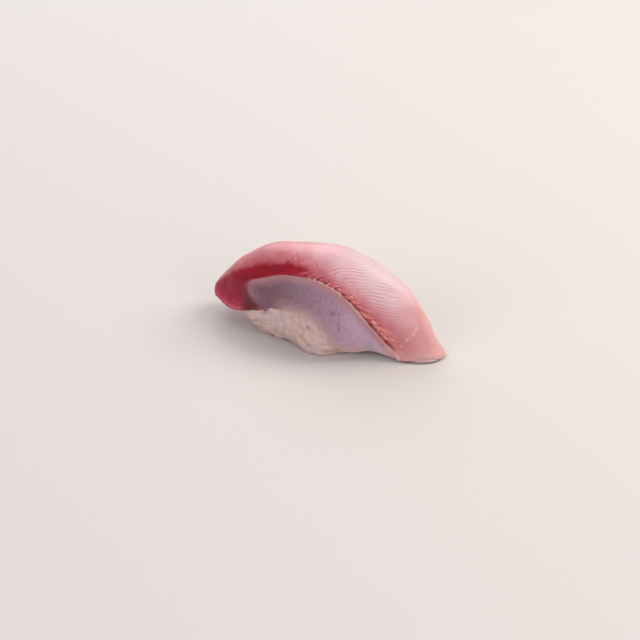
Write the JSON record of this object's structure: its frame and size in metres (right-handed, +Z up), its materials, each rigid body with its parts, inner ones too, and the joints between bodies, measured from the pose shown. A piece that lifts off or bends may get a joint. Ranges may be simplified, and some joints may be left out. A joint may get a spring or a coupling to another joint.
{
  "type": "nigiri sushi",
  "caption": "Yellowtail nigiri: a thick bent slice of raw yellowtail draped over an oblong ball of pressed rice, its skin face along the near side.",
  "frame": {"origin": "centre of the footprint of the whole piece, on the board that the rice rests on", "axes": "+X along the slice towards the thin end that lies down on the board, -Y the near side, which shows the skin face of the slice, +Z up"},
  "size_m": [0.0692, 0.0282, 0.0273],
  "materials": {
    "raw_fish": "moist raw fish, pink flesh with a dark red streak and a mauve grey skin face",
    "cooked_rice": "sticky cooked short-grain rice, slightly see-through"
  },
  "bodies": {
    "root": {"yellowtail_slice": "raw_fish", "rice_ball": "cooked_rice"}
  },
  "joints": []
}
